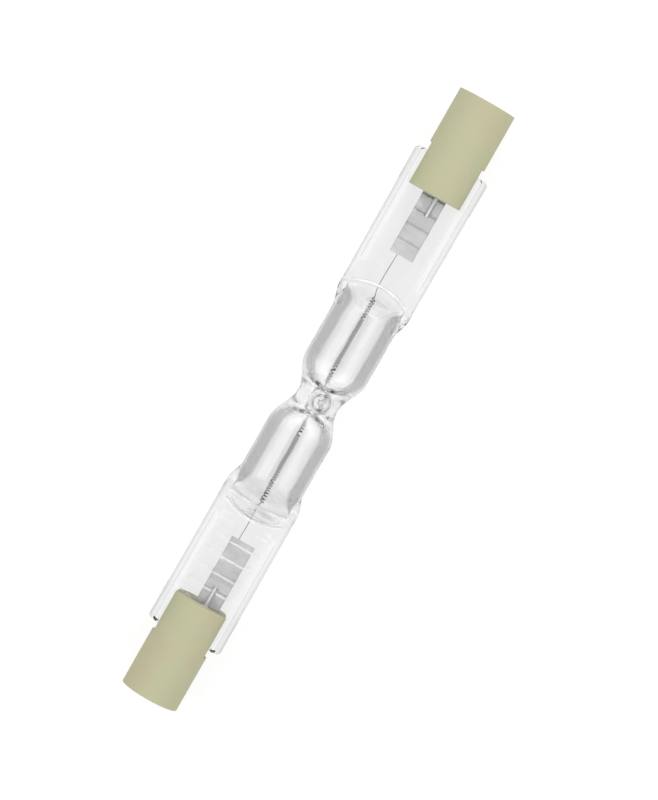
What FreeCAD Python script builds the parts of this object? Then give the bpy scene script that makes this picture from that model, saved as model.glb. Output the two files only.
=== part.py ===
import FreeCAD, Part
import math
import os
from FreeCAD import Vector

# Double-ended linear halogen lamp, in millimetres.
# The lamp lies along X with the flats of its two press seals level, and its sealed exhaust tip
# points up. Everything is modelled round the lamp's axis and then lifted, so that the two quartz
# chambers stand on z = 0. End a is at +X and end b at -X.

# Overall size
overall_length = 78.3

# Ceramic end caps
cap_diameter = 7.1
cap_length = 12.3
cap_slot_depth = 5.3
recess_diameter = 3.8
recess_depth = 1.7
lead_bore_diameter = 1.6

# Contacts in the caps. Their faces are 74.9 apart, which is what a holder for this lamp needs.
contact_head_diameter = 3.4
contact_head_thickness = 0.3
contact_shank_length = 2.4
contact_clearance = 0.02

# Quartz tube: two chambers with a waist between them
chamber_diameter = 7.9
chamber_wall = 1.0
waist_diameter = 5.28
waist_length = 8.6
waist_bore_diameter = 1.5
waist_bore_length = 1.4
shoulder_length = 2.6

# Where the tube is pressed flat: from press_lead before the gas space's end, which is measured
# from the lamp's middle
press_lead = 2.45
press_length = 3.3
pressed_core_width = 8.4
pressed_core_height = 2.4
cavity_end_width = 7.3
cavity_end_height = 0.24
cavity_reach = 14.75
cavity_end_bow = 0.92

# Straight steps that stand for one smooth rise of the tube's outline
waist_steps = 5
shoulder_steps = 4
press_steps = 6
tip_steps = 2

# Press seals: a web between two thicker side rails
seal_start = 9.2
seal_start_width = 7.4
seal_full_width_at = 13.3
seal_width = 9.35
seal_thickness = 3.0
seal_edge_radius = 0.6
seal_corner_chamfer = 0.4
seal_end_gap = 1.0
web_start = 15.8
web_thickness = 2.2
rail_gap = 0.15
jaw_draft = 0.1
rib_pitch = 2.0
rib_width = 0.6
rib_top_width = 0.2
rib_height = 0.12
rib_end_gap = 0.25

# Exhaust tip, in the middle of the waist
tip_diameter = 2.1
tip_root_diameter = 2.9
tip_top = 4.6
tip_root_height = 2.45
tip_neck_height = 3.0
tip_dome_height = 0.7
tip_bore_diameter = 0.5
tip_bore_top = 3.8
tip_x = 0.1
tip_y = -0.4

# Molybdenum foils in the press seals: a is offset little, b lies well off the middle
foil_width = 2.95
foil_thickness = 0.03
foil_feather = 0.25
foil_inner_end_a = 19.03
foil_inner_end_b = 18.32
foil_outer_margin = 3.15
foil_offset_a = -0.1
foil_offset_b = -0.66

# Outer leads, each welded on the upper face of its foil
lead_diameter = 0.55
lead_weld_flat = 0.025
lead_overlap = 3.6
lead_offset_a = -0.35
lead_offset_b = -0.5
lead_bend_start = 0.2
lead_straight_end = 0.4

# Filament: one wire with a leg, a coil, a straight bridge, a coil and a leg. The coil's wire is
# itself a fine coil in the real lamp, and wire_size is the outer size of that.
wire_size = 0.13
coil_diameter = 0.57
coil_pitch = 0.23
steps_per_turn = 6
coil_a_end_gap = 1.72
coil_a_inner_end = 2.38
coil_b_end_gap = 1.97
coil_b_inner_end = 2.67
coil_a_outer_y = 0.17
coil_a_inner_y = 0.19
coil_b_inner_y = 0.0
coil_b_outer_y = -0.17
leg_a_y = 0.42
leg_b_y = -0.06
leg_bend_run = 0.45
leg_weld_length = 1.5
flat_tolerance = 1e-7

# Cement that holds each cap on its press seal
cement_width = 5.8
cement_layer = 0.2
cement_setback = 0.4

# Sizes that follow from the ones above
half_length = overall_length / 2
contact_plane = half_length - recess_depth
cap_inner_end = half_length - cap_length
slot_floor = cap_inner_end + cap_slot_depth
slot_width = web_thickness + 2 * cement_layer
seal_end = slot_floor - seal_end_gap
chamber_radius = chamber_diameter / 2
bore_radius = chamber_radius - chamber_wall
prong_half_width = math.sqrt((cap_diameter / 2) ** 2 - (slot_width / 2) ** 2)
web_half_width = prong_half_width + rail_gap
foil_outer_end = seal_end - foil_outer_margin
lead_inner_end = foil_outer_end - lead_overlap
head_base = contact_plane - contact_head_thickness
shank_end = head_base - contact_shank_length
coil_radius = (coil_diameter - wire_size) / 2
leg_height = -(foil_thickness + wire_size) / 2
press_start = cavity_reach - press_lead
leg_exit = cavity_reach - cavity_end_bow
coil_a_outer_end = cavity_reach - coil_a_end_gap
coil_b_outer_end = cavity_reach - coil_b_end_gap


def wave(t):
    """Smooth rise from 0 to 1 as t goes from 0 to 1."""
    return (1 - math.cos(math.pi * min(max(t, 0.0), 1.0))) / 2


def mirrored(shape):
    """The same shape at the other end of the lamp."""
    return shape.mirror(Vector(0, 0, 0), Vector(1, 0, 0))


def box_between(low, high):
    return Part.makeBox(high.x - low.x, high.y - low.y, high.z - low.z, low)


def rod(radius, start, end):
    """Cylinder along X."""
    return Part.makeCylinder(radius, end - start, Vector(start, 0, 0), Vector(1, 0, 0))


def line(start, end):
    return Part.LineSegment(start, end).toShape()


def ellipse(x, half_width, half_height):
    """Elliptical outline in the plane at x."""
    wide = Vector(x, half_width, 0)
    high = Vector(x, 0, half_height)
    if half_width < half_height:
        wide, high = high, wide
    return Part.Wire(Part.Ellipse(wide, high, Vector(x, 0, 0)).toShape())


def divided(start, end, count):
    """Evenly spaced places after start, up to and with end."""
    return [start + (end - start) * step / count for step in range(1, count + 1)]


def lofted_tube(half_stations, section):
    """Solid through the section at each station and at its mirror place."""
    stations = [-x for x in reversed(half_stations)] + [0] + half_stations
    return Part.makeLoft([ellipse(x, *section(abs(x))) for x in stations], True, True)


def outside_section(x):
    """Half width and half height of the tube's outside at a distance from the middle."""
    low = waist_diameter / 2
    radius = low + (chamber_radius - low) * wave(x / (waist_length / 2))
    pressed = wave((x - press_start) / press_length)
    return (radius + (pressed_core_width / 2 - radius) * pressed,
            radius + (pressed_core_height / 2 - radius) * pressed)


def tube_outside():
    """Waist, chambers and the pressed ends of the chambers."""
    waist = waist_length / 2
    stations = divided(0, waist, waist_steps) + [seal_start, press_start]
    stations += divided(press_start, press_start + press_length, press_steps)
    return lofted_tube(stations, outside_section)


def inside_section(x):
    """Half width and half height of the gas space at a distance from the middle."""
    neck = waist_bore_diameter / 2
    radius = neck + (bore_radius - neck) * wave((x - waist_bore_length / 2) / shoulder_length)
    pressed = wave((x - press_start) / (cavity_reach - press_start))
    return (radius + (cavity_end_width / 2 - radius) * pressed,
            radius + (cavity_end_height / 2 - radius) * pressed)


def cavity():
    """The sealed gas space: two chambers joined by the narrow bore of the waist."""
    neck_end = waist_bore_length / 2
    stations = [neck_end] + divided(neck_end, neck_end + shoulder_length, shoulder_steps)
    stations += [press_start] + divided(press_start, cavity_reach, press_steps)
    half_chord = cavity_end_width / 2
    end_radius = (half_chord ** 2 + cavity_end_bow ** 2) / (2 * cavity_end_bow)
    low = Vector(cavity_reach - 2 * cavity_end_bow, -chamber_radius, -chamber_radius)
    high = Vector(cavity_reach + cavity_end_bow, chamber_radius, chamber_radius)
    square_end = box_between(low, high)
    bowed_end = Part.makeCylinder(end_radius, chamber_diameter,
                                  Vector(cavity_reach - end_radius, 0, -chamber_radius))
    beyond = square_end.cut(bowed_end)
    return lofted_tube(stations, inside_section).cut([beyond, mirrored(beyond)])


def seal_blank():
    """Press seal before its webs are pressed in, widening out of the chamber's sides."""
    narrow = seal_start_width / 2
    wide = seal_width / 2
    half = seal_thickness / 2
    flank = [Vector(seal_start, narrow, -half), Vector(seal_full_width_at, wide, -half),
             Vector(seal_end, wide, -half)]
    other_flank = [Vector(point.x, -point.y, point.z) for point in reversed(flank)]
    plan = Part.makePolygon(flank + other_flank + [flank[0]])
    blank = Part.Face(plan).extrude(Vector(0, 0, seal_thickness))
    rims = []
    for edge in blank.Edges:
        level = edge.BoundBox.ZLength < half
        at_start = edge.BoundBox.XMax < seal_start + half
        if level and not at_start:
            rims.append(edge)
    corners = []
    for side in (-1, 1):
        tip = Vector(seal_end, side * wide, -half)
        outline = [tip, tip - Vector(seal_corner_chamfer, 0, 0),
                   tip - Vector(0, side * seal_corner_chamfer, 0), tip]
        corners.append(Part.Face(Part.makePolygon(outline)).extrude(Vector(0, 0, seal_thickness)))
    return blank.makeFillet(seal_edge_radius, rims).cut(corners)


def web_jaw():
    """What one press jaw takes out above the web, with drafted sides."""
    floor = web_thickness / 2
    top = seal_thickness / 2
    past_end = seal_end + seal_end_gap
    slope = [Vector(web_start, web_half_width, floor),
             Vector(web_start, web_half_width + jaw_draft, top)]
    other_slope = [Vector(point.x, -point.y, point.z) for point in reversed(slope)]
    section = Part.Face(Part.makePolygon(slope + other_slope + [slope[0]]))
    return section.extrude(Vector(past_end - web_start, 0, 0))


def web_ribs():
    """Cross ribs that the jaw's grooves leave on the web, clear of the cap."""
    reach = web_half_width - rib_end_gap
    foot = web_thickness / 2
    crest = foot + rib_height
    count = int((cap_inner_end - web_start) / rib_pitch)
    ribs = []
    for index in range(count):
        x = web_start + (index + 0.5) * rib_pitch
        outline = [Vector(x - rib_width / 2, -reach, 0), Vector(x - rib_width / 2, -reach, foot),
                   Vector(x - rib_top_width / 2, -reach, crest),
                   Vector(x + rib_top_width / 2, -reach, crest),
                   Vector(x + rib_width / 2, -reach, foot), Vector(x + rib_width / 2, -reach, 0)]
        section = Part.Face(Part.makePolygon(outline + [outline[0]]))
        ribs.append(section.extrude(Vector(0, 2 * reach, 0)))
    return ribs


def both_faces(shape):
    """The shape and the same shape on the seal's lower face."""
    below = shape.copy()
    below.rotate(Vector(0, 0, 0), Vector(1, 0, 0), 180)
    return [shape, below]


def press_seal():
    """One H-section press seal, at end a."""
    ribs = []
    for rib in web_ribs():
        ribs += both_faces(rib)
    return seal_blank().cut(both_faces(web_jaw())).multiFuse(ribs)


def exhaust_tip():
    """Stub that is left where the exhaust tube was melted off, flared at its root."""
    root = tip_root_diameter / 2
    neck = tip_diameter / 2
    levels = [(waist_diameter / 4, root)]
    for height in divided(tip_root_height, tip_neck_height, tip_steps):
        flare = 1 - wave((height - tip_root_height) / (tip_neck_height - tip_root_height))
        levels.append((height, neck + (root - neck) * flare))
    for share in divided(0, 1, tip_steps):
        turn = share * math.pi / 2
        levels.append((tip_top - tip_dome_height * math.cos(turn), neck * (1 - share / 2)))
    circles = [Part.Wire(Part.Circle(Vector(tip_x, tip_y, height), Vector(0, 0, 1), radius).toShape())
               for height, radius in levels]
    return Part.makeLoft(circles, True, True)


def tip_bore():
    """Closed end of the exhaust tube's bore."""
    return Part.makeCylinder(tip_bore_diameter / 2, tip_bore_top, Vector(tip_x, tip_y, 0))


def foil(inner_end, offset):
    """Foil with feathered long edges, at end a."""
    edge = foil_width / 2
    flat = edge - foil_feather
    half = foil_thickness / 2
    outline = [Vector(inner_end, offset + y, z) for y, z in
               ((-edge, 0), (-flat, -half), (flat, -half), (edge, 0), (flat, half), (-flat, half))]
    section = Part.Face(Part.makePolygon(outline + [outline[0]]))
    return section.extrude(Vector(foil_outer_end - inner_end, 0, 0))


def outer_lead(offset):
    """Round lead from the foil's upper face to the contact's shank, at end a."""
    radius = lead_diameter / 2
    foil_face = foil_thickness / 2
    height = foil_face + radius - lead_weld_flat
    points = [Vector(lead_inner_end, offset, height),
              Vector(seal_end + lead_bend_start, offset, height),
              Vector(shank_end - lead_straight_end, 0, 0), Vector(shank_end, 0, 0)]
    circle = Part.Wire(Part.Circle(points[0], Vector(1, 0, 0), radius).toShape())
    mitred_bends = 1
    lead = Part.makePolygon(points).makePipeShell([circle], True, False, mitred_bends)
    weld_side = box_between(Vector(lead_inner_end - radius, offset - radius, -radius),
                            Vector(foil_outer_end, offset + radius, foil_face))
    return lead.cut(weld_side)


def coil_nodes(outer_end, inner_end, outer_y, inner_y):
    """Places along one coil, each with its outward direction and whether the coil runs past it."""
    turns = round(abs(inner_end - outer_end) / coil_pitch)
    count = turns * steps_per_turn
    nodes = []
    for step in range(count + 1):
        share = step / count
        angle = 2 * math.pi * step / steps_per_turn
        outward = Vector(0, math.sin(angle), -math.cos(angle))
        centre = Vector(outer_end + (inner_end - outer_end) * share,
                        outer_y + (inner_y - outer_y) * share, 0)
        nodes.append((centre + outward * coil_radius, outward, 0 < step < count))
    return nodes


def filament_nodes():
    """The whole wire from its weld at end a to its weld at end b."""
    down = Vector(0, 0, -1)
    leg_a = [(Vector(x, leg_a_y, leg_height), down, False) for x in
             (foil_inner_end_a + leg_weld_length, leg_exit, coil_a_outer_end + leg_bend_run)]
    leg_b = [(Vector(-x, leg_b_y, leg_height), down, False) for x in
             (coil_b_outer_end + leg_bend_run, leg_exit, foil_inner_end_b + leg_weld_length)]
    coil_a = coil_nodes(coil_a_outer_end, coil_a_inner_end, coil_a_outer_y, coil_a_inner_y)
    coil_b = coil_nodes(-coil_b_inner_end, -coil_b_outer_end, coil_b_inner_y, coil_b_outer_y)
    return leg_a + coil_a + coil_b + leg_b


def wire_corners(before, node, after):
    """Corners of the wire at a node: its outer face and the inner edge that lies on the foils."""
    point, outward, in_coil = node
    arriving = (point - before).normalize()
    leaving = (after - point).normalize()
    half = wire_size / 2
    if in_coil:
        across = Vector(-half, 0, 0)
    else:
        mitre = math.cos(arriving.getAngle(leaving) / 2)
        across = (arriving + leaving).cross(outward).normalize() * (half / mitre)
    out = outward * half
    return [point + out - across, point + out + across, point - out]


def flat_faces(corners):
    """One face if all the corners lie in a plane, and two triangles if they don't."""
    normal = (corners[1] - corners[0]).cross(corners[2] - corners[0]).normalize()
    if abs(normal.dot(corners[-1] - corners[0])) < flat_tolerance:
        return [Part.Face(Part.makePolygon(corners + [corners[0]]))]
    halves = [corners[:3], [corners[0]] + corners[2:]]
    return [Part.Face(Part.makePolygon(half + [half[0]])) for half in halves]


def filament():
    """One wire, of a three-sided section that stands for the round one, along all its nodes."""
    nodes = filament_nodes()
    points = [node[0] for node in nodes]
    points.insert(0, points[0] * 2 - points[1])
    points.append(points[-1] * 2 - points[-2])
    sections = [wire_corners(points[index], node, points[index + 2])
                for index, node in enumerate(nodes)]
    faces = flat_faces(sections[0]) + flat_faces(sections[-1])
    for here, there in zip(sections, sections[1:]):
        for side in range(3):
            other = (side + 1) % 3
            faces += flat_faces([here[side], here[other], there[other], there[side]])
    shell = Part.makeShell(faces)
    shell.sewShape()
    return Part.makeSolid(shell)


def leg_pocket(inner_end, y):
    """Room that a filament leg takes in the press seal, at end a."""
    half = wire_size / 2
    outline = [Vector(leg_exit, y - half, leg_height - half),
               Vector(leg_exit, y + half, leg_height - half), Vector(leg_exit, y, leg_height + half)]
    section = Part.Face(Part.makePolygon(outline + [outline[0]]))
    return section.extrude(Vector(inner_end + leg_weld_length - leg_exit, 0, 0))


def quartz_envelope(foils, leads):
    """One quartz body: chambers, waist, exhaust tip and both press seals round their metal."""
    seal = press_seal()
    body = tube_outside().multiFuse([seal, mirrored(seal), exhaust_tip()])
    pockets = [leg_pocket(foil_inner_end_a, leg_a_y),
               mirrored(leg_pocket(foil_inner_end_b, leg_b_y))]
    return body.cut([cavity(), tip_bore()] + pockets + foils + leads)


def ceramic_cap():
    """Ceramic cap with a slot for the seal, a lead bore, and the contact's seat and recess, at end a."""
    body = rod(cap_diameter / 2, cap_inner_end, half_length)
    half_slot = slot_width / 2
    slot = box_between(Vector(cap_inner_end - half_slot, -cap_diameter, -half_slot),
                       Vector(slot_floor, cap_diameter, half_slot))
    recess = rod(recess_diameter / 2, contact_plane, half_length)
    seat = rod(contact_head_diameter / 2 + contact_clearance, head_base, half_length)
    bore = rod(lead_bore_diameter / 2, slot_floor - half_slot, half_length)
    return body.cut([slot, recess, seat, bore])


def contact_button():
    """Contact with its head in the cap's seat and its shank in the lead bore, at end a."""
    head = rod(contact_head_diameter / 2, head_base, contact_plane)
    shank = rod(lead_bore_diameter / 2 - contact_clearance, shank_end, head_base)
    return head.fuse(shank)


def cap_cement(seal):
    """Cement that fills the slot round the web, with a channel for the lead, at end a."""
    half = cement_width / 2
    channel = lead_bore_diameter / 2
    block = box_between(Vector(cap_inner_end + cement_setback, -half, -slot_width / 2),
                        Vector(slot_floor, half, slot_width / 2))
    lead_channel = box_between(Vector(seal_end, -channel, -channel),
                               Vector(slot_floor, channel, channel))
    return block.cut([seal, lead_channel])


def export(name, shape):
    shape = shape.copy()
    shape.translate(Vector(0, 0, chamber_radius))
    shape.exportStep(os.path.join("parts", name + ".step"))


def main():
    os.makedirs("parts", exist_ok=True)
    foil_a = foil(foil_inner_end_a, foil_offset_a)
    foil_b = mirrored(foil(foil_inner_end_b, foil_offset_b))
    lead_a = outer_lead(lead_offset_a)
    lead_b = mirrored(outer_lead(lead_offset_b))
    envelope = quartz_envelope([foil_a, foil_b], [lead_a, lead_b])
    export("quartz_envelope", envelope)
    export("filament", filament())
    export("molybdenum_foil_a", foil_a)
    export("molybdenum_foil_b", foil_b)
    export("outer_lead_a", lead_a)
    export("outer_lead_b", lead_b)
    export("ceramic_cap_a", ceramic_cap())
    export("ceramic_cap_b", mirrored(ceramic_cap()))
    export("contact_button_a", contact_button())
    export("contact_button_b", mirrored(contact_button()))
    export("cap_cement_a", cap_cement(press_seal()))
    export("cap_cement_b", mirrored(cap_cement(press_seal())))


main()
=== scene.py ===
import math
import bpy
from mathutils import Matrix, Vector, noise


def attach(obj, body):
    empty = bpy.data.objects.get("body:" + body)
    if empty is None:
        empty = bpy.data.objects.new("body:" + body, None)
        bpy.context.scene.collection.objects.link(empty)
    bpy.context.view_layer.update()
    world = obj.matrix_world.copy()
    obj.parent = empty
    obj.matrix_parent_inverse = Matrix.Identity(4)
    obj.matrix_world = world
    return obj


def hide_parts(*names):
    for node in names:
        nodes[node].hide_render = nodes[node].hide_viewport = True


# Double-ended linear halogen lamp: looks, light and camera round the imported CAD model.
# Sizes are in millimetres round the lamp's axis, x towards end a, and each mesh is scaled and
# lifted onto the CAD frame when it is made.

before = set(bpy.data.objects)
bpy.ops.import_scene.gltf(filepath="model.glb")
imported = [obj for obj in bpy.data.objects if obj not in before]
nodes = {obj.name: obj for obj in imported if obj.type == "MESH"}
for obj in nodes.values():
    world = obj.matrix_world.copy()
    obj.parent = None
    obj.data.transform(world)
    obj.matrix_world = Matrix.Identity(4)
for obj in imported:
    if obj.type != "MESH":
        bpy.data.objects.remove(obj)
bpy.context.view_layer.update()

mm = 0.001
end_names = {1: "a", -1: "b"}
chamber_radius = 3.95
axis_height = chamber_radius

# Sizes that differ from end to end are kept by side: 1 is end a and -1 is end b.
# Sizes along the lamp are distances from its middle, except that the tip, the legs, the coils and
# the bridge have their x.

# Quartz tube
bore_radius = 2.95
waist_radius = 2.64
waist_reach = 4.3
neck_bore = 0.75
neck_bore_reach = 1.55
shoulder_reach = 4.0
shoulder_bow = 1.4
shoulder_bow_end = 5.6
press_start = {1: 10.9, -1: 10.3}
press_end = {1: 15.3, -1: 14.3}
press_lead = {1: 3.8, -1: 3.3}
core_half_width = 4.2
core_half_height = 1.2
core_narrows = (12.8, 14.6)
flat_half_width = 2.0
flat_widens = (7.5, 13.5)
worked_reach = 3.4

# Press seals
seal_start = 9.2
seal_full_at = 13.3
seal_half_start = 3.7
seal_half_near = {1: 4.56, -1: 4.66}
seal_half_width = 4.675
seal_end = 31.15
seal_half_thickness = 1.5
seal_end_rounding = 0.25
seal_emerges = {1: (11.1, 12.5), -1: (10.5, 11.9)}
seal_edge_radius = 0.6
seal_corner = 0.55
seal_blend = 0.6
web_start = 15.8
web_fade = (15.4, 17.4)
web_half_width = 3.6
web_half_thickness = 1.1
rail_slope_width = 1.5
rib_pitch = 2.0
rib_half_width = 0.4
rib_height = 0.07
rib_fade = 0.4
ribs_end = 26.85

# Ends of the gas space
cavity_reach = {1: 14.75, -1: 13.7}
cavity_end_half_width = 3.65
cavity_end_bow = 0.92
wedge_end_bow = {1: 0.92, -1: 0.15}
lip_half_height = 0.12
tongue_half_height = 0.07
tongue_reach = {1: 0.0, -1: 1.8}
tongue_end_bow = 1.3

# Whitish marks in the glass: mostly painted highlights, with faint haze round the waist
arc_place = {1: 14.92, -1: 15.7}
lip_place = 13.95
pocket_place = 14.8
corner_place = 13.2
rib_highlight_start = 18.85

# Exhaust tip
tip_x = 0.1
tip_y = -0.4
tip_root_radius = 1.47
tip_radius = 1.0
tip_shoulder = 4.1
tip_crown = 4.58

# Filament, foils and leads
wire_radius = 0.052
leg_radius = 0.035
coil_radius = 0.245
coil_pitch = 0.34
coil_steps = 14
coil_a = {"start": 13.2, "end": 2.38, "y_start": 0.17, "y_end": 0.19}
coil_b = {"start": -2.67, "end": -13.15, "y_start": 0.0, "y_end": -0.17}
bridge = (2.25, -2.55)
leg_a = (20.53, 13.9)
leg_b = (-13.7, -19.82)
leg_step = 0.35
leg_z = -0.08
legs_start = 13.4
wire_sides = 8
foil_thickness = 0.03
foil_feather = 0.17
foil_columns = 16
crease_depth = 0.05
crease_half_width = 0.13
foil_width = 2.95
foil_ends = {1: (19.03, 28.0), -1: (18.32, 28.0)}
foil_offset = {1: -0.1, -1: -0.66}
crease_start = {1: 20.75, -1: 18.95}

# Ceramic caps and contacts
half_length = 39.15
cap_radius = 3.55
cap_inner_end = 26.85
slot_floor = 32.15
slot_half = 1.3
recess_radius = 1.9
contact_plane = 37.45
head_base = 37.15
head_radius = 1.7
seat_radius = 1.72
lead_bore_radius = 0.8
lead_bore_start = 30
shank_radius = 0.78
shank_end = 34.75

# Camera in metres and degrees, and levels of light, where 1 shows a colour as it is written
camera_lens = 160.87
camera_height = 0.409
camera_x = 0.02205
camera_turn = 29.72
aim_right = 0.0013
aim_up = 0.00006
light_distance = 0.62
floor_level_below = 0.80
floor_level_beside = 0.38
room_in_glass = 0.75
room_light = 0.3


def wave(t):
    """Smooth rise from 0 to 1 as t goes from 0 to 1."""
    return (1 - math.cos(math.pi * min(max(t, 0.0), 1.0))) / 2


def mix(a, b, share):
    return a + (b - a) * share


def rise(value, start, end):
    """Smooth rise from 0 to 1 as the value goes from start to end."""
    return wave((value - start) / (end - start))


def soft_max(a, b, blend):
    """The larger of two heights, with a rounded inner corner where they meet."""
    closeness = max(blend - abs(a - b), 0) / blend
    return max(a, b) + closeness * closeness * blend / 4


def ripple(x, y, z, size, seed=0.0):
    """Soft unevenness of worked glass, from -1 to 1."""
    return noise.noise(Vector((x / size + seed, y / size, z / size)))


def span(start, end, step):
    """Evenly spaced places from start up to, but not with, end."""
    count = max(round(abs(end - start) / step), 1)
    return [start + (end - start) * index / count for index in range(count)]


def link_mesh(name, points, faces, material):
    """Object in the scene from points in metres and faces."""
    mesh = bpy.data.meshes.new(name)
    mesh.from_pydata(points, [], faces)
    mesh.validate()
    mesh.materials.append(material)
    piece = bpy.data.objects.new(name, mesh)
    bpy.context.scene.collection.objects.link(piece)
    return piece


def make_object(name, mesh_data, material, smooth=True):
    """Object from points in millimetres round the lamp's axis and faces, on the CAD frame."""
    points, faces = mesh_data
    lifted = [(x * mm, y * mm, (z + axis_height) * mm) for x, y, z in points]
    piece = link_mesh(name, lifted, faces, material)
    if smooth:
        piece.data.shade_smooth()
    return piece


def rings_mesh(rings, closed_ends=True):
    """Points and faces through equal rings, each one a closed loop."""
    size = len(rings[0])
    points = [point for ring in rings for point in ring]
    faces = []
    for row in range(len(rings) - 1):
        for column in range(size):
            after = (column + 1) % size
            faces.append((row * size + column, row * size + after,
                          (row + 1) * size + after, (row + 1) * size + column))
    if closed_ends:
        faces.append(tuple(reversed(range(size))))
        last = (len(rings) - 1) * size
        faces.append(tuple(range(last, last + size)))
    return points, faces


# Outside of the quartz

def tube_section(x):
    """Half width and half height of the round tube and its pressed end."""
    side = 1 if x > 0 else -1
    distance = abs(x)
    radius = mix(waist_radius, chamber_radius, wave(distance / waist_reach))
    pressed = rise(distance, press_start[side], press_end[side])
    half_width = radius
    if distance > seal_start:
        widened = soft_max(radius, seal_half(x), 0.1)
        half_width = mix(widened, core_half_width, rise(distance, *core_narrows))
    return half_width, mix(radius, core_half_height, pressed)


def seal_half(x):
    """Half width of the press seal, which grows a little towards the cap and has rounded corners."""
    side = 1 if x > 0 else -1
    distance = abs(x)
    along = (distance - seal_full_at) / (seal_end - seal_full_at)
    full = min(mix(seal_half_near[side], seal_half_width, along), seal_half_width)
    flank = mix(seal_half_start, full, rise(distance, seal_start, seal_full_at))
    into_corner = distance - (seal_end - seal_corner)
    if into_corner > 0:
        flank -= seal_corner - math.sqrt(max(seal_corner ** 2 - into_corner ** 2, 0))
    return flank


def tube_reach(x, y0, direction):
    """Distance from a point on the middle plane to the tube's outline in one direction."""
    half_width, half_height = tube_section(x)
    dy, dz = direction
    a = (dy / half_width) ** 2 + (dz / half_height) ** 2
    b = y0 * dy / half_width ** 2
    c = (y0 / half_width) ** 2 - 1
    inside = b * b - a * c
    if inside <= 0:
        return 0.0
    return max((-b + math.sqrt(inside)) / a, 0.0)


def seal_height(x):
    """Half thickness of the press seal, whose end face has rounded edges."""
    height = seal_half_thickness
    into_edge = abs(x) - (seal_end - seal_end_rounding)
    if into_edge > 0:
        height -= seal_end_rounding - math.sqrt(max(seal_end_rounding ** 2 - into_edge ** 2, 0))
    return height


def seal_reach(x, y0, angle):
    """Distance to the press seal's rounded edge from the centre line of that edge."""
    if abs(x) < seal_start:
        return 0.0
    half = seal_half(x) - y0
    height = seal_height(x)
    dy, dz = math.cos(angle), math.sin(angle)
    corner = min(seal_edge_radius, half, height)
    cy, cz = half - corner, height - corner
    to_side = half / dy if dy > 1e-6 else 1e9
    to_top = height / dz if dz > 1e-6 else 1e9
    reach = min(to_side, to_top)
    if reach * dy > cy and reach * dz > cz:
        b = cy * dy + cz * dz
        c = cy * cy + cz * cz - corner * corner
        reach = b + math.sqrt(max(b * b - c, 0))
    return reach


def web_height(x, y):
    """Half thickness over the web, with the jaw's cross ribs, or the rail's where y is beyond it."""
    distance = abs(x)
    height = seal_height(x)
    into = rise(distance, *web_fade)
    across = wave((abs(y) - web_half_width) / rail_slope_width + 0.5)
    rib = 0.0
    if distance < ribs_end:
        place = (distance - web_start) / rib_pitch - 0.5
        offset = abs(place - round(place)) * rib_pitch
        rib = rib_height * (1 - wave(offset / rib_half_width))
        rib *= wave((web_half_width - rib_fade - abs(y)) / rib_fade)
    floor = min(web_half_thickness, height) + rib
    return mix(height, mix(floor, height, across), into)


def quarter_outline(x):
    """Fine outline of the upper right quarter at x: a flat zone and then a rounded side."""
    distance = abs(x)
    inside_edge = seal_half(x) - seal_edge_radius - 0.02
    middle = mix(flat_half_width, inside_edge, rise(distance, *flat_widens))
    starts, full_at = seal_emerges[1 if x > 0 else -1]
    has_seal = distance > starts
    grown = rise(distance, starts, full_at)
    edge = max(seal_half(x), tube_section(x)[0])
    flat_count = 80
    side_count = 90
    quarter = []
    for index in range(flat_count):
        y = middle * index / flat_count
        height = tube_reach(x, y, (0.0, 1.0))
        if has_seal:
            height = soft_max(height, web_height(x, y) * grown, seal_blend)
        quarter.append((y, height))
    for index in range(side_count + 1):
        angle = math.pi / 2 * (1 - index / side_count)
        dy, dz = math.cos(angle), math.sin(angle)
        reach = tube_reach(x, middle, (dy, dz))
        if has_seal:
            reach = soft_max(reach, seal_reach(x, middle, angle) * grown, seal_blend)
            reach = min(reach, (edge - middle) / max(dy, 1e-6))
        quarter.append((middle + dy * reach, dz * reach))
    return quarter


def evenly_spaced(line, count):
    """Points at equal distances along a line of points, its ends kept."""
    walked = [0.0]
    for before, after in zip(line, line[1:]):
        walked.append(walked[-1] + math.dist(before, after))
    points = [line[0]]
    place = 0
    for step in range(1, count):
        target = walked[-1] * step / count
        while walked[place + 1] < target:
            place += 1
        share = (target - walked[place]) / (walked[place + 1] - walked[place])
        points.append(tuple(mix(a, b, share) for a, b in zip(line[place], line[place + 1])))
    return points + [line[-1]]


def outside_ring(x):
    """Closed outline of the quartz at x, from 192 points."""
    quarter = evenly_spaced(quarter_outline(x), 48)
    right = quarter + [(y, -z) for y, z in reversed(quarter[:-1])]
    left = [(-y, z) for y, z in reversed(right[1:-1])]
    return [(x, y, z) for y, z in right + left]


def uneven(point):
    """The point drawn in by a few hundredths of a millimetre, as in hand-worked glass."""
    x, y, z = point
    size = math.hypot(y, z)
    pressed = rise(abs(x), 12.5, 15.5)
    waves = 1 + ripple(x, y * 1.6, z, 1.9)
    streaks = 1 + ripple(x * 0.3, y * 1.3, z, 0.9, 7.0)
    depth = mix(0.004, 0.008, pressed) * waves + 0.008 * pressed * streaks
    worked = wave(1.2 - abs(x) / worked_reach)
    depth += 0.03 * worked * (1 + ripple(x, y, z, 0.8, 3.0))
    scale = 1 - depth / max(size, 1.0)
    return x, y * scale, z * scale


def outside_stations():
    """Places along the lamp with a ring each, closer together where the outline changes."""
    fine = 0.16
    ribs_begin = 16.6
    places = span(0, waist_reach, fine) + span(waist_reach, seal_start, 0.35)
    places += span(seal_start, ribs_begin, fine) + span(ribs_begin, ribs_end, fine)
    places += span(ribs_end, seal_end - seal_corner, 0.3)
    places += [seal_end - seal_corner * (1 - math.sin(step / 8 * math.pi / 2)) for step in range(9)]
    return [-x for x in reversed(places[1:])] + places


def outside_mesh():
    rings = []
    for x in outside_stations():
        rings.append([uneven(point) for point in outside_ring(x)])
    return rings_mesh(rings)


# Gas space inside the quartz

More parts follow.
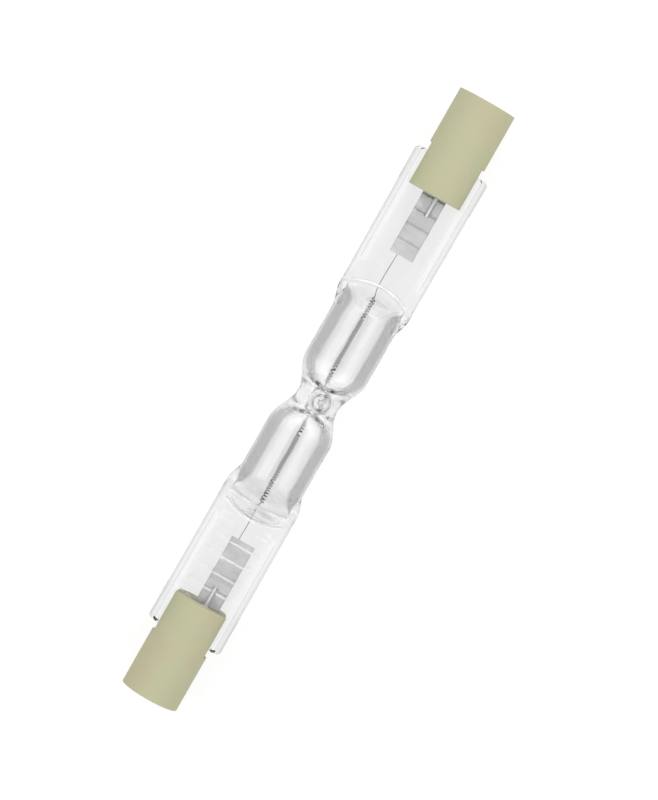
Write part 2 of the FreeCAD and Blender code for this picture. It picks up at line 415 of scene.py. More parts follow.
def bore_section(x):
    """Half width and half height of the gas space: neck, shoulder, bore and pressed end."""
    side = 1 if x > 0 else -1
    distance = abs(x)
    opened = min(max((distance - neck_bore_reach) / (shoulder_reach - neck_bore_reach), 0), 1)
    flared = 0.55 * (1 - (1 - opened) ** 12) + 0.45 * (1 - (1 - opened) ** 2.2)
    radius = mix(neck_bore, bore_radius, flared)
    pressed = rise(distance, cavity_reach[side] - press_lead[side], cavity_reach[side])
    return mix(radius, cavity_end_half_width, pressed), mix(radius, lip_half_height, pressed)


def bore_ring(x, count, half_width, half_height, bow):
    """Oval ring whose sides lie nearer to the lamp's middle by the bow."""
    ring = []
    for index in range(count):
        angle = 2 * math.pi * index / count
        y = half_width * math.cos(angle)
        z = half_height * math.sin(angle)
        bend = bow * (y / cavity_end_half_width) ** 2
        ring.append((x - math.copysign(1, x) * bend, y, z))
    return ring


def half_cavity(side, count):
    """Rings of the gas space from the middle of the lamp to one end."""
    reach = cavity_reach[side]
    wedge_start = reach - press_lead[side]
    places = span(0, shoulder_reach, 0.08) + span(shoulder_reach, wedge_start, 0.4)
    places += span(wedge_start, reach, 0.1) + [reach]
    rings = []
    for distance in places:
        width, height = bore_section(side * distance)
        bow = wedge_end_bow[side] * rise(distance, wedge_start, reach)
        bow -= shoulder_bow * (1 - rise(distance, neck_bore_reach, shoulder_bow_end))
        rings.append(bore_ring(side * max(distance, 1e-4), count, width, height, bow))
    tongue = tongue_reach[side]
    if tongue:
        for share in (0.1, 0.25, 0.4, 0.6, 0.8, 1.0):
            height = mix(lip_half_height, tongue_half_height, wave(share * 2))
            width = cavity_end_half_width * (1 - 0.15 * share)
            bow = mix(wedge_end_bow[side], tongue_end_bow, share)
            rings.append(bore_ring(side * (reach + tongue * share), count, width, height, bow))
    return rings


def cavity_mesh():
    """Closed gas space, its ends closed by strips from the upper to the lower side."""
    count = 112
    rings = list(reversed(half_cavity(-1, count))) + half_cavity(1, count)[1:]
    points, faces = rings_mesh(rings, closed_ends=False)
    last = (len(rings) - 1) * count
    for column in range(count // 2):
        other = (count - column) % count
        strip = (column, column + 1, other - 1 if other else count - 1, other)
        corners = list(dict.fromkeys(strip))
        faces.append(tuple(reversed(corners)))
        faces.append(tuple(last + corner for corner in corners))
    return points, [tuple(reversed(face)) for face in faces]


# Exhaust tip

def tip_profile():
    """Radius and height of the melted tip, from inside the waist to its crown."""
    root_height = 2.3
    neck_height = 3.15
    profile = [(1.5, 1.6), (tip_root_radius, root_height)]
    for step in range(1, 9):
        t = step / 8
        profile.append((mix(tip_root_radius, 1.03, wave(t)), mix(root_height, neck_height, t)))
    profile += [(tip_radius, 3.45), (tip_radius, tip_shoulder)]
    for step in range(1, 9):
        turn = step / 8 * math.pi / 2
        radius = tip_radius - 0.45 * (1 - math.cos(turn))
        profile.append((radius, tip_shoulder + 0.42 * math.sin(turn)))
    return profile + [(0.3, tip_crown - 0.02), (0.0, tip_crown)]


def turned_mesh(profile, count, place, closed_ends=True):
    """Surface turned round a line from radius and distance pairs, set in its place by a function."""
    points = []
    faces = []
    rows = []
    for radius, height in profile:
        if radius < 1e-6:
            rows.append([len(points)])
            points.append(place(0.0, 0.0, height))
            continue
        row = []
        for index in range(count):
            angle = 2 * math.pi * index / count
            row.append(len(points))
            points.append(place(radius * math.cos(angle), radius * math.sin(angle), height))
        rows.append(row)
    for below, above in zip(rows, rows[1:]):
        for index in range(count):
            after = (index + 1) % count
            if len(above) == 1:
                faces.append((below[index], below[after], above[0]))
            elif len(below) == 1:
                faces.append((below[0], above[after], above[index]))
            else:
                faces.append((below[index], below[after], above[after], above[index]))
    if closed_ends and len(rows[0]) > 1:
        faces.append(tuple(reversed(rows[0])))
    if closed_ends and len(rows[-1]) > 1:
        faces.append(tuple(rows[-1]))
    return points, faces


def tip_mesh():
    """Melted tip, leaning a little towards end a."""
    def place(u, v, height):
        lean = 0.05 * max(height - 3.0, 0)
        return tip_x + u + lean, tip_y + v * 1.03, height
    return turned_mesh(tip_profile(), 56, place)


def tip_bore_mesh():
    """Remains of the exhaust tube's bore, closed where the tip was melted off."""
    profile = [(0.24, 0.3), (0.24, 2.9), (0.3, 3.3), (0.33, 3.6), (0.24, 3.8), (0.1, 3.86), (0.0, 3.87)]
    return turned_mesh(profile, 24, lambda u, v, height: (tip_x + u, tip_y + v, height))


def apply_boolean(piece, other, operation):
    """Join or cut the piece with another object, which is then removed."""
    cutter = piece.modifiers.new("join", "BOOLEAN")
    cutter.operation = operation
    cutter.solver = "EXACT"
    cutter.object = other
    graph = bpy.context.evaluated_depsgraph_get()
    result = bpy.data.meshes.new_from_object(piece.evaluated_get(graph))
    piece.modifiers.clear()
    piece.data = result
    bpy.data.objects.remove(other)


def quartz_envelope(material):
    """One glass body: outside with its tip, and the gas space as inward-facing walls."""
    piece = make_object("quartz_envelope_glass", outside_mesh(), material)
    tip = make_object("tip_tool", tip_mesh(), material)
    apply_boolean(piece, tip, "UNION")
    gas = make_object("gas_tool", cavity_mesh(), material)
    gas.data.flip_normals()
    bore = make_object("bore_tool", tip_bore_mesh(), material)
    apply_boolean(gas, bore, "UNION")
    apply_boolean(piece, gas, "DIFFERENCE")
    piece.data.shade_smooth()
    return piece


# Filament

def leg_path(places, y, sway, centre, tightness):
    """Nearly straight leg between a foil and a coil."""
    return [(x, y + sway * math.sin((x - centre) * tightness), leg_z) for x in places]


def coil_path(start, end, y_start, y_end):
    """One of the two coils, a little uneven and sagging between its ends."""
    steps = round(abs(end - start) / coil_pitch) * coil_steps
    path = []
    for step in range(steps + 1):
        share = step / steps
        angle = 2 * math.pi * step / coil_steps
        radius = coil_radius * (1 + 0.035 * noise.noise(Vector((share * 21, start, 0))))
        x = mix(start, end, share) + 0.02 * noise.noise(Vector((share * 37, start, 5)))
        sag = -0.05 * math.sin(math.pi * share)
        y = mix(y_start, y_end, share) + radius * math.sin(angle)
        path.append((x, y, sag - radius * math.cos(angle)))
    return path


def bridge_path():
    """Straight wire through the waist, from one coil to the other."""
    path = []
    for share in (0.15, 0.35, 0.5, 0.65, 0.85):
        lift = 0.1 * math.sin(math.pi * share)
        path.append((mix(*bridge, share), mix(0.14, 0.03, share), lift - 0.22))
    return path


def filament_path():
    """Middle line of the wire from foil a to foil b."""
    path = leg_path(span(*leg_a, leg_step), 0.42, 0.035, 14, 0.9)
    path += coil_path(**coil_a)
    path += bridge_path()
    path += coil_path(**coil_b)
    path += leg_path(span(*leg_b, leg_step) + [leg_b[1]], -0.06, 0.03, -15, 1.3)
    return path


def wire_mesh(path):
    """Round wire along a path, and how far along it each ring is. The legs are thinner."""
    rings = []
    lengths = []
    walked = 0.0
    normal = Vector((0, 0, 1))
    for index, point in enumerate(path):
        here = Vector(point)
        before = Vector(path[max(index - 1, 0)])
        after = Vector(path[min(index + 1, len(path) - 1)])
        along = (after - before).normalized()
        normal = (normal - along * normal.dot(along)).normalized()
        across = along.cross(normal)
        walked += (here - before).length
        lengths.append(walked)
        radius = leg_radius if abs(here.x) > legs_start else wire_radius
        ring = []
        for side in range(wire_sides):
            angle = 2 * math.pi * side / wire_sides
            offset = normal * math.cos(angle) + across * math.sin(angle)
            ring.append(tuple(here + offset * radius))
        rings.append(ring)
    return rings_mesh(rings), lengths


def filament(material):
    """The whole wire, with its own length in the UV map for the fine winding."""
    mesh_data, lengths = wire_mesh(filament_path())
    piece = make_object("filament_coil", mesh_data, material)
    layer = piece.data.uv_layers.new(name="along_wire")
    for loop in piece.data.loops:
        row, side = divmod(loop.vertex_index, wire_sides)
        layer.data[loop.index].uv = (lengths[row], side / wire_sides)
    return piece


# Foils

def foil(side, material):
    """Thin sheet with feathered edges, slightly rippled where the jaw's ribs pressed the glass."""
    inner, outer = foil_ends[side]
    edge = foil_width / 2
    columns = [-1 + 2 * index / foil_columns for index in range(foil_columns + 1)]
    rings = []
    for x in span(inner, outer, 0.06) + [outer]:
        press = (x - crease_start[side]) / rib_pitch
        lift = -crease_depth * math.exp(-((press - round(press)) * rib_pitch / crease_half_width) ** 2)
        ring = []
        for face, across in ((1, columns), (-1, list(reversed(columns)))):
            for t in across:
                thick = foil_thickness / 2 * min((1 - abs(t)) / foil_feather, 1.0)
                wobble = 0.02 * ripple(x, t * edge, side, 1.3) + 0.012 * ripple(x, t, side, 0.45)
                y = foil_offset[side] + t * edge * (1 - 0.012 * (1 + ripple(x, 0, side, 0.7)))
                ring.append((side * x, y, lift + wobble + face * (thick + 0.001)))
        rings.append(ring)
    points, faces = rings_mesh(rings)
    if side > 0:
        faces = [tuple(reversed(corners)) for corners in faces]
    return make_object("foil_strip_" + end_names[side], (points, faces), material, smooth=False)


# Caps and contacts

def box_mesh(low, high):
    """Box between two corners, as a cutting tool."""
    points = [(x, y, z) for x in (low[0], high[0]) for y in (low[1], high[1]) for z in (low[2], high[2])]
    faces = [(0, 1, 3, 2), (4, 6, 7, 5), (0, 4, 5, 1), (2, 3, 7, 6), (0, 2, 6, 4), (1, 5, 7, 3)]
    return points, faces


def rod_mesh(side, profile, count):
    """Surface turned round the lamp's axis, from radius and distance pairs."""
    def place(u, v, distance):
        return side * distance, u, side * v
    return turned_mesh(profile, count, place)


def ceramic_cap(side, material):
    """Round cap with its slot, lead bore, seat and recess, and slightly worn edges."""
    profile = [(cap_radius, cap_inner_end), (cap_radius, half_length)]
    body = make_object("cap_" + end_names[side], rod_mesh(side, profile, 128), material)
    low, high = sorted((side * (cap_inner_end - 1), side * slot_floor))
    slot = make_object("slot_tool", box_mesh((low, -5, -slot_half), (high, 5, slot_half)), material)
    apply_boolean(body, slot, "DIFFERENCE")
    bores = ((recess_radius, contact_plane), (seat_radius, head_base), (lead_bore_radius, lead_bore_start))
    for radius, start in bores:
        profile = [(radius, start), (radius, half_length + 1)]
        tool = make_object("bore_tool", rod_mesh(side, profile, 64), material)
        apply_boolean(body, tool, "DIFFERENCE")
    rim = body.modifiers.new("worn_edges", "BEVEL")
    rim.width = 0.05 * mm
    rim.segments = 3
    rim.limit_method = "ANGLE"
    rim.angle_limit = math.radians(40)
    rim.harden_normals = True
    body.data.shade_smooth()
    return body


def contact_button(side, material):
    """Contact with a faintly dished face, a head and a shank."""
    shank = [(0.0, shank_end), (shank_radius - 0.1, shank_end), (shank_radius, shank_end + 0.1),
             (shank_radius, head_base)]
    head = [(head_radius, head_base), (head_radius, contact_plane - 0.12), (1.62, contact_plane - 0.04),
            (1.45, contact_plane - 0.005), (0.62, contact_plane), (0.45, contact_plane - 0.045),
            (0.0, contact_plane - 0.05)]
    return make_object("contact_" + end_names[side], rod_mesh(side, shank + head, 72), material)


# Materials

def new_material(name):
    material = bpy.data.materials.new(name)
    material.use_nodes = True
    tree = material.node_tree
    return material, tree, tree.nodes["Principled BSDF"]


def add(tree, kind, **settings):
    """New node with its settings, where a name that is an input sets that input."""
    node = tree.nodes.new(kind)
    for key, value in settings.items():
        if key in node.inputs:
            node.inputs[key].default_value = value
        else:
            setattr(node, key, value)
    return node


def object_place(tree, scale):
    """Coordinates in the object's frame, in millimetres times a scale for each axis."""
    place = add(tree, "ShaderNodeTexCoord")
    mapping = add(tree, "ShaderNodeMapping")
    mapping.inputs["Scale"].default_value = [1000 * share for share in scale]
    tree.links.new(place.outputs["Object"], mapping.inputs["Vector"])
    return mapping.outputs["Vector"]


def reckon(tree, operation, *values):
    """Result of a math node on sockets or numbers."""
    node = add(tree, "ShaderNodeMath", operation=operation)
    for socket, value in zip(node.inputs, values):
        if isinstance(value, (int, float)):
            socket.default_value = value
        else:
            tree.links.new(value, socket)
    return node.outputs[0]


def smooth_step(tree, value, start, end, low=0.0, high=1.0):
    """From low to high, smoothly, as the value goes from start to end."""
    node = add(tree, "ShaderNodeMapRange", interpolation_type="SMOOTHSTEP")
    for socket, setting in zip(node.inputs[1:5], (start, end, low, high)):
        socket.default_value = setting
    tree.links.new(value, node.inputs[0])
    return node.outputs[0]


def product(tree, first, *others):
    """Product of sockets and numbers."""
    result = first
    for value in others:
        result = reckon(tree, "MULTIPLY", result, value)
    return result


def largest(tree, first, *others):
    """The largest of some sockets."""
    result = first
    for value in others:
        result = reckon(tree, "MAXIMUM", result, value)
    return result


def lamp_place(tree):
    """Sockets for x and y in metres, and for the distances from the lamp's middle and its axis."""
    place = add(tree, "ShaderNodeTexCoord")
    parts = add(tree, "ShaderNodeSeparateXYZ")
    tree.links.new(place.outputs["Object"], parts.inputs[0])
    x, y = parts.outputs[0], parts.outputs[1]
    return x, y, reckon(tree, "ABSOLUTE", x), reckon(tree, "ABSOLUTE", y)


def noise_value(tree, scale, detail=3.0, roughness=0.5):
    """Cloudy noise from 0 to 1, its scale in waves per millimetre along each axis."""
    texture = add(tree, "ShaderNodeTexNoise", Scale=1.0, Detail=detail, Roughness=roughness)
    tree.links.new(object_place(tree, scale), texture.inputs["Vector"])
    return texture.outputs["Fac"]


def ramp(tree, value, stops):
    """Colour ramp over a value, from (place, colour) stops."""
    node = add(tree, "ShaderNodeValToRGB")
    elements = node.color_ramp.elements
    while len(elements) < len(stops):
        elements.new(0.5)
    for element, (place, colour) in zip(elements, stops):
        element.position = place
        element.color = (*colour, 1.0)
    tree.links.new(value, node.inputs["Fac"])
    return node.outputs["Color"]


def bump(tree, shader, height, distance, strength):
    """Fine relief on the shader's surface, up to a distance in metres."""
    node = add(tree, "ShaderNodeBump", Distance=distance, Strength=strength)
    tree.links.new(height, node.inputs["Height"])
    tree.links.new(node.outputs["Normal"], shader.inputs["Normal"])


def near(tree, value, place, soft):
    """1 where the value is at a place, falling smoothly to 0 within a soft distance."""
    off = reckon(tree, "ABSOLUTE", reckon(tree, "SUBTRACT", value, place))
    return smooth_step(tree, off, 0.3 * soft, soft, 1.0, 0.0)


def crease_mask(tree, along, first):
    """1 at each of the jaw's rib lines, from the first one's distance in millimetres; it places the painted
    crease lines on the foils and the painted rib highlights in the glass.
    """
    steps = reckon(tree, "DIVIDE", reckon(tree, "SUBTRACT", along, first * mm), rib_pitch * mm)
    off = reckon(tree, "ABSOLUTE", reckon(tree, "SUBTRACT", steps, reckon(tree, "ROUND", steps)))
    ragged = reckon(tree, "MULTIPLY_ADD", noise_value(tree, (1.5, 1.5, 1.0), 2.0), 0.2, off)
    return smooth_step(tree, ragged, 0.08, 0.27, 1.0, 0.0)


def painted_gas_end_highlights(tree):
    """Painted highlights along the ends of the gas space, where the glass closed round it, and patchy
    whitish over end b's flat pocket.
    """
    x, y, along, across = lamp_place(tree)
    at_a = smooth_step(tree, x, -1 * mm, 1 * mm)
    at_b = reckon(tree, "SUBTRACT", 1.0, at_a)
    square = reckon(tree, "MULTIPLY", y, y)
    bowed = reckon(tree, "MULTIPLY_ADD", square, cavity_end_bow / cavity_end_half_width ** 2 / mm, along)
    straight = reckon(tree, "MULTIPLY_ADD", square, 0.02 / mm, along)
    patches = smooth_step(tree, noise_value(tree, (1.2, 0.5, 0.5), 2.0), 0.42, 0.62)
    # painted highlights: the arcs and the straight lip at the gas space's ends
    arc_a = product(tree, near(tree, bowed, arc_place[1] * mm, 0.22 * mm), at_a)
    arc_b = product(tree, near(tree, bowed, arc_place[-1] * mm, 0.2 * mm), at_b)
    lip_b = product(tree, near(tree, straight, lip_place * mm, 0.3 * mm), at_b)
    pocket_b = product(tree, near(tree, bowed, pocket_place * mm, 1.1 * mm), at_b, patches, 0.6)
    within = smooth_step(tree, across, 3.5 * mm, 3.9 * mm, 1.0, 0.0)
    return product(tree, largest(tree, arc_a, arc_b, lip_b, pocket_b), within)


def painted_rib_highlights(tree):
    """Painted highlights across the web at end b, at the jaw's ribs."""
    x, _, along, across = lamp_place(tree)
    at_b = smooth_step(tree, x, -1 * mm, 1 * mm, 1.0, 0.0)
    on_web = smooth_step(tree, across, 2.9 * mm, 3.3 * mm, 0.3, 0.0)
    past_chamber = smooth_step(tree, along, 18 * mm, 18.4 * mm)
    return product(tree, crease_mask(tree, along, rib_highlight_start), at_b, on_web, past_chamber)


def waist_haze_and_painted_highlights(tree):
    """Faint haze round the waist, whitish along the waist's sides, and painted highlights on the chambers'
    corners and flanks.
    """
    _, _, along, across = lamp_place(tree)
    patches = smooth_step(tree, noise_value(tree, (0.9, 0.9, 0.9), 2.0), 0.35, 0.65)
    waist = product(tree, smooth_step(tree, along, 2.4 * mm, 3.6 * mm, 0.2, 0.0), patches)
    waist_rim = product(tree, smooth_step(tree, across, 1.8 * mm, 2.3 * mm, 0.0, 0.8),
                        smooth_step(tree, along, 1.7 * mm, 2.6 * mm, 1.0, 0.0))
    # painted highlight along each chamber's flank
    flank = product(tree, near(tree, across, 3.82 * mm, 0.16 * mm),
                    near(tree, along, corner_place * mm, 1.2 * mm), 0.6)
    # painted light over each chamber's corner
    corner = product(tree, near(tree, across, 4.3 * mm, 0.9 * mm),
                     near(tree, along, corner_place * mm, 2.4 * mm), 0.35)
    return largest(tree, waist, waist_rim, flank, corner)


def glass_marks_and_painted_highlights(tree):
    """All the whitish marks in the glass, broken up by noise, as a 0 to 1 mask: mostly painted highlights,
    with faint haze round the waist.
    """
    lines = largest(tree, painted_gas_end_highlights(tree), painted_rib_highlights(tree), waist_haze_and_painted_highlights(tree))
    broken = smooth_step(tree, noise_value(tree, (0.8, 0.35, 0.3), 2.0), 0.38, 0.58, 0.6, 1.0)
    return product(tree, lines, broken)


def glass_tint_and_painted_shade(tree):
    """Base colour of the quartz: clear at the waist, painted shade that greys the chambers a little, painted
    light a little brighter at the seals, random streaks of tint, and painted shade along the seals' rims.
    """
    _, _, along, across = lamp_place(tree)
    # painted shade: the chambers' glass a little greyer than the waist's
    chamber = smooth_step(tree, along, 3.4 * mm, 5 * mm, 0.98, 0.918)
    # painted light: the seals' glass a little brighter
    seal = smooth_step(tree, along, 12 * mm, 15 * mm, 0.0, 0.022)
    streaks = smooth_step(tree, noise_value(tree, (0.16, 0.8, 0.4), 2.0), 0.35, 0.65, -0.012, 0.012)
    tone = reckon(tree, "ADD", reckon(tree, "ADD", chamber, seal), streaks)
    # painted shade: grey outlines along the seals' rims
    rim = product(tree, smooth_step(tree, across, 4.05 * mm, 4.4 * mm),
                  smooth_step(tree, along, 12 * mm, 13.5 * mm))
    return reckon(tree, "MULTIPLY_ADD", rim, -0.2, tone)


def quartz_material():
    """Clear glass that turns whitish and rougher on the marks, which are mostly painted highlights; its base
    colour also carries painted shade and light.
    """
    material, tree, shader = new_material("clear_quartz")
    shader.inputs["IOR"].default_value = 1.458
    line = glass_marks_and_painted_highlights(tree)
    clear = reckon(tree, "MULTIPLY_ADD", line, -0.7, 1.0)
    tree.links.new(clear, shader.inputs["Transmission Weight"])
    tree.links.new(smooth_step(tree, line, 0.3, 1.0, 0.0, 0.3), shader.inputs["Roughness"])
    # base colour: the painted shade and light of the glass, lifted to white on the painted highlights
    tone = reckon(tree, "MAXIMUM", glass_tint_and_painted_shade(tree), line)
    tree.links.new(tone, shader.inputs["Base Color"])
    bump(tree, shader, noise_value(tree, (0.35, 1.2, 0.8), 2.0), 0.00004, 0.6)
    return material


def ceramic_material():
    """Matt, slightly mottled and grainy ceramic."""
    material, tree, shader = new_material("unglazed_ceramic")
    colour = ramp(tree, noise_value(tree, (0.22, 0.2, 0.2), 2.0),
                  [(0.3, (0.45, 0.465, 0.295)), (0.5, (0.47, 0.465, 0.30)), (0.72, (0.48, 0.445, 0.29))])
    tree.links.new(colour, shader.inputs["Base Color"])
    shader.inputs["Roughness"].default_value = 0.72
    shader.inputs["Specular IOR Level"].default_value = 0.35
    bump(tree, shader, noise_value(tree, (9, 9, 9), 4.0, 0.7), 0.00002, 0.5)
    return material


def metal_material(name, dark, light, roughness, grain):
    """Metal with a grain, given as waves per millimetre along each axis."""
    material, tree, shader = new_material(name)
    colour = ramp(tree, noise_value(tree, grain, 3.0), [(0.3, dark), (0.7, light)])
    tree.links.new(colour, shader.inputs["Base Color"])
    shader.inputs["Metallic"].default_value = 1.0
    shader.inputs["Roughness"].default_value = roughness
    bump(tree, shader, noise_value(tree, [3 * share for share in grain], 4.0), 0.00001, 0.6)
    return material


def foil_material(name, side, dark, light, crease_shade_and_highlight):
    """Rolled foil with darker edges and a painted line at each crease that the jaw's ribs pressed: painted
    shade where the crease number is below 1, a painted highlight where it is above 1.
    """
    material, tree, shader = new_material(name)
    rolled = ramp(tree, noise_value(tree, (0.45, 0.25, 1.0), 3.0, 0.6), [(0.35, dark), (0.65, light)])
    _, y, along, _ = lamp_place(tree)
    crease = crease_mask(tree, along, crease_start[side])
    from_middle = reckon(tree, "ABSOLUTE", reckon(tree, "SUBTRACT", y, foil_offset[side] * mm))
    edge = smooth_step(tree, from_middle, 1.26 * mm, 1.42 * mm, 1.0, 0.82)
    # painted shade or painted highlight along each crease, set by the crease number
    tone = product(tree, reckon(tree, "MULTIPLY_ADD", crease, crease_shade_and_highlight - 1, 1.0), edge)
    scaled = add(tree, "ShaderNodeVectorMath", operation="SCALE")
    tree.links.new(rolled, scaled.inputs[0])
    tree.links.new(tone, scaled.inputs["Scale"])
    tree.links.new(scaled.outputs[0], shader.inputs["Base Color"])
    shader.inputs["Metallic"].default_value = 1.0
    shader.inputs["Roughness"].default_value = 0.48
    bump(tree, shader, noise_value(tree, (3.6, 0.9, 3.0), 4.0), 0.00001, 0.6)
    return material


def tungsten_material():
    """Fine winding: the wire of the coil is itself a coil, shown by bands along its length, a bump and
    painted shade in the dark bands between the turns.
    """
    material, tree, shader = new_material("coiled_tungsten")
    place = add(tree, "ShaderNodeUVMap", uv_map="along_wire")
    turns = add(tree, "ShaderNodeTexWave", Scale=1.0, Distortion=0.0, wave_type="BANDS", bands_direction="X")
    mapping = add(tree, "ShaderNodeMapping")
    mapping.inputs["Scale"].default_value = (8.0, 0.32, 1.0)
    tree.links.new(place.outputs["UV"], mapping.inputs["Vector"])
    tree.links.new(mapping.outputs["Vector"], turns.inputs["Vector"])
    # painted shade: the dark bands stand for shade between the fine turns
    colour = ramp(tree, turns.outputs["Fac"], [(0.1, (0.03, 0.03, 0.031)), (0.8, (0.2, 0.2, 0.205))])
    tree.links.new(colour, shader.inputs["Base Color"])
    shader.inputs["Metallic"].default_value = 1.0
    shader.inputs["Roughness"].default_value = 0.42
    bump(tree, shader, turns.outputs["Fac"], 0.00002, 0.8)
    return material


def cement_material():
    """Chalky, uneven cement."""
    material, tree, shader = new_material("lamp_cement")
    colour = ramp(tree, noise_value(tree, (1.4, 1.4, 1.4), 4.0),
                  [(0.3, (0.62, 0.60, 0.53)), (0.7, (0.75, 0.73, 0.67))])
    tree.links.new(colour, shader.inputs["Base Color"])
    shader.inputs["Roughness"].default_value = 0.9
    bump(tree, shader, noise_value(tree, (5, 5, 5), 4.0, 0.7), 0.00006, 0.8)
    return material


def floor_glow(tree):
    """Strength of the floor's light in glass and metal: bright below the lamp, greyer beside it."""
    _, _, along, across = lamp_place(tree)
    edge = smooth_step(tree, along, 12 * mm, 15.5 * mm, 3 * mm, 9 * mm)
    beyond = reckon(tree, "SUBTRACT", across, edge)
    return smooth_step(tree, beyond, 0.0, 1.7 * mm, floor_level_below, floor_level_beside)


def floor_material():
    """Pale sweep: white to the camera, with a faint shadow, and a light panel to glass and metal."""
    material = bpy.data.materials.new("pale_sweep")
    material.use_nodes = True
    tree = material.node_tree
    tree.nodes.clear()
    output = add(tree, "ShaderNodeOutputMaterial")
    rays = add(tree, "ShaderNodeLightPath")
    seen_white = add(tree, "ShaderNodeEmission", Strength=0.82)
    seen_shade = add(tree, "ShaderNodeBsdfDiffuse", Color=(0.22, 0.22, 0.22, 1))
    seen = add(tree, "ShaderNodeAddShader")
    panel_glow = add(tree, "ShaderNodeEmission")
    panel_shade = add(tree, "ShaderNodeBsdfDiffuse", Color=(0.15, 0.15, 0.15, 1))
    panel = add(tree, "ShaderNodeAddShader")
    plain = add(tree, "ShaderNodeBsdfDiffuse", Color=(0.8, 0.8, 0.8, 1))
    to_panel = add(tree, "ShaderNodeMixShader")
    to_camera = add(tree, "ShaderNodeMixShader")
    gloss = largest(tree, rays.outputs["Is Glossy Ray"], rays.outputs["Is Transmission Ray"])
    link = tree.links.new
    link(seen_white.outputs[0], seen.inputs[0])
    link(seen_shade.outputs[0], seen.inputs[1])
    link(floor_glow(tree), panel_glow.inputs["Strength"])
    link(panel_glow.outputs[0], panel.inputs[0])
    link(panel_shade.outputs[0], panel.inputs[1])
    link(gloss, to_panel.inputs[0])
    link(plain.outputs[0], to_panel.inputs[1])
    link(panel.outputs[0], to_panel.inputs[2])
    link(rays.outputs["Is Camera Ray"], to_camera.inputs[0])
    link(to_panel.outputs[0], to_camera.inputs[1])
    link(seen.outputs[0], to_camera.inputs[2])
    link(to_camera.outputs[0], output.inputs["Surface"])
    return material


# Stage, light and camera

def sweep():
    """Round floor whose rim curves up far from the lamp, in metres."""
    flat_radius = 2.0
    profile = [(radius, 0.0) for radius in (0.0, 0.1, 0.4, 1.0, flat_radius)]
    for step in range(1, 13):
        turn = step / 12 * math.pi / 2
        profile.append((flat_radius + math.sin(turn), 1 - math.cos(turn)))
    profile.append((flat_radius + 1, 1.6))
    points, faces = turned_mesh(profile, 64, lambda u, v, height: (v, u, height), closed_ends=False)
    floor = link_mesh("sweep", points, faces, floor_material())
    floor.data.shade_smooth()


def soft_box(name, up, along, width, length, radiance):
    """Area light over the lamp in the direction up, its length parallel to along."""
    light = bpy.data.lights.new(name, "AREA")
    light.shape = "RECTANGLE"
    light.size = length
    light.size_y = width
    light.energy = radiance * math.pi * width * length
    lamp = bpy.data.objects.new(name, light)
    bpy.context.scene.collection.objects.link(lamp)
    lamp.location = up * light_distance + Vector((0, 0, axis_height * mm))
    lamp.rotation_mode = "QUATERNION"
    lamp.rotation_quaternion = Matrix((along, up.cross(along), up)).transposed().to_quaternion()


def studio_lights():
    """A long soft box on each side of the lamp and a square one beyond each end."""
    for name, turn, radiance in (("soft_box_left", 45, 1.35), ("soft_box_right", -52, 1.3)):
        angle = math.radians(turn)
        up = Vector((0, math.sin(angle), math.cos(angle)))
        soft_box(name, up, Vector((1, 0, 0)), 0.56, 1.2, radiance)
    for name, turn, radiance in (("soft_box_a", 60, 2.0), ("soft_box_b", -60, 0.5)):
        angle = math.radians(turn)
        up = Vector((math.sin(angle), 0, math.cos(angle)))
        soft_box(name, up, Vector((0, 1, 0)), 0.6, 0.6, radiance)


def studio_world():
    """White to the camera, and dimmer for the glass and for the light on the lamp."""
    world = bpy.data.worlds.new("studio")
    bpy.context.scene.world = world
    world.use_nodes = True
    tree = world.node_tree
    tree.nodes.clear()
    output = add(tree, "ShaderNodeOutputWorld")
    rays = add(tree, "ShaderNodeLightPath")
    gloss = largest(tree, rays.outputs["Is Glossy Ray"], rays.outputs["Is Transmission Ray"])
    room = reckon(tree, "MULTIPLY_ADD", gloss, room_in_glass - room_light, room_light)
    level = largest(tree, room, rays.outputs["Is Camera Ray"])
    light = add(tree, "ShaderNodeBackground", Color=(1, 1, 1, 1))
    tree.links.new(level, light.inputs["Strength"])
    tree.links.new(light.outputs[0], output.inputs["Surface"])


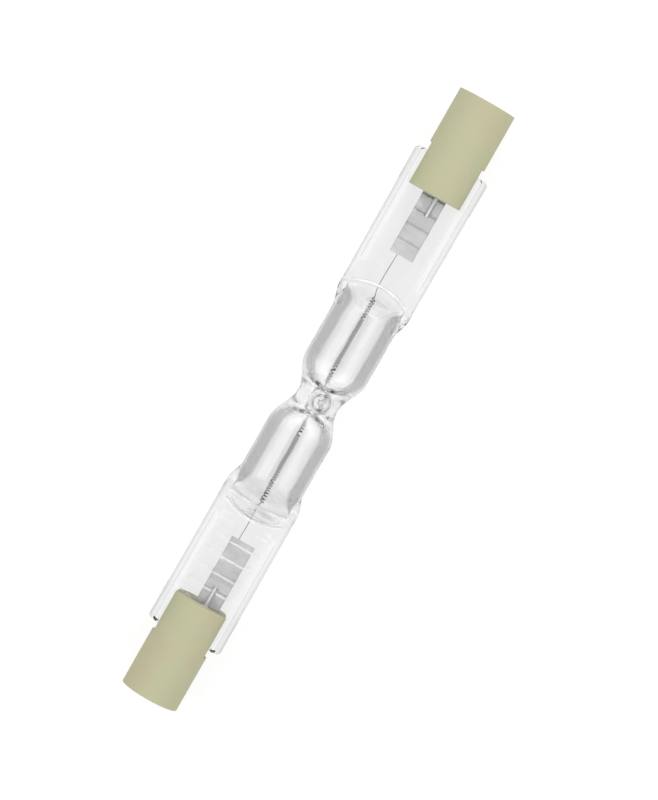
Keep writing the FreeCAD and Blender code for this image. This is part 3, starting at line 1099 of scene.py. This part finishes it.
def camera():
    """Camera nearly straight above, a little towards end a, turned as in the photograph."""
    centre = Vector((0, 0, axis_height * mm))
    place = centre + Vector((camera_x, 0, camera_height))
    turn = math.radians(camera_turn)

    def axes(forward):
        lamp_up = (Vector((1, 0, 0)) - forward * forward.x).normalized()
        lamp_right = lamp_up.cross(-forward)
        right = lamp_up * math.sin(turn) + lamp_right * math.cos(turn)
        up = lamp_up * math.cos(turn) - lamp_right * math.sin(turn)
        return right, up

    right, up = axes((centre - place).normalized())
    target = centre + right * aim_right + up * aim_up
    forward = (target - place).normalized()
    right, up = axes(forward)
    data = bpy.data.cameras.new("camera")
    data.sensor_width = 36
    data.lens = camera_lens
    data.clip_start = 0.01
    data.clip_end = 20
    view = bpy.data.objects.new("camera", data)
    bpy.context.scene.collection.objects.link(view)
    view.matrix_world = Matrix.Translation(place) @ Matrix((right, up, -forward)).transposed().to_4x4()
    bpy.context.scene.camera = view


def dress():
    """All the lamp's pieces in the place of the CAD nodes, or new materials on them."""
    quartz = quartz_material()
    ceramic = ceramic_material()
    tungsten = tungsten_material()
    # the last number paints the creases: painted shade on foil a, a painted highlight on foil b
    foil_metals = {1: foil_material("foil_metal_a", 1, (0.62, 0.62, 0.63), (0.76, 0.76, 0.77), 0.8),
                   -1: foil_material("foil_metal_b", -1, (0.59, 0.59, 0.60), (0.73, 0.73, 0.74), 1.22)}
    lead_metal = metal_material("drawn_wire", (0.55, 0.55, 0.56), (0.70, 0.70, 0.71), 0.34, (0.4, 3.0, 3.0))
    nickel = metal_material("nickel_plate", (0.60, 0.58, 0.54), (0.72, 0.70, 0.66), 0.28, (1.5, 1.5, 1.5))
    cement = cement_material()

    def place(piece, node, slot):
        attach(piece, "root")
        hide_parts(node)

    place(quartz_envelope(quartz), "quartz_envelope", "quartz")
    place(filament(tungsten), "filament", "tungsten")
    for side, end in end_names.items():
        place(foil(side, foil_metals[side]), "molybdenum_foil_" + end, "molybdenum")
        place(ceramic_cap(side, ceramic), "ceramic_cap_" + end, "ceramic")
        place(contact_button(side, nickel), "contact_button_" + end, "contact_metal")
        for node, material in (("outer_lead_", lead_metal), ("cap_cement_", cement)):
            held = nodes[node + end]
            held.data.materials.clear()
            held.data.materials.append(material)


dress()
sweep()
studio_lights()
studio_world()
camera()
bpy.context.scene.view_settings.view_transform = "Standard"
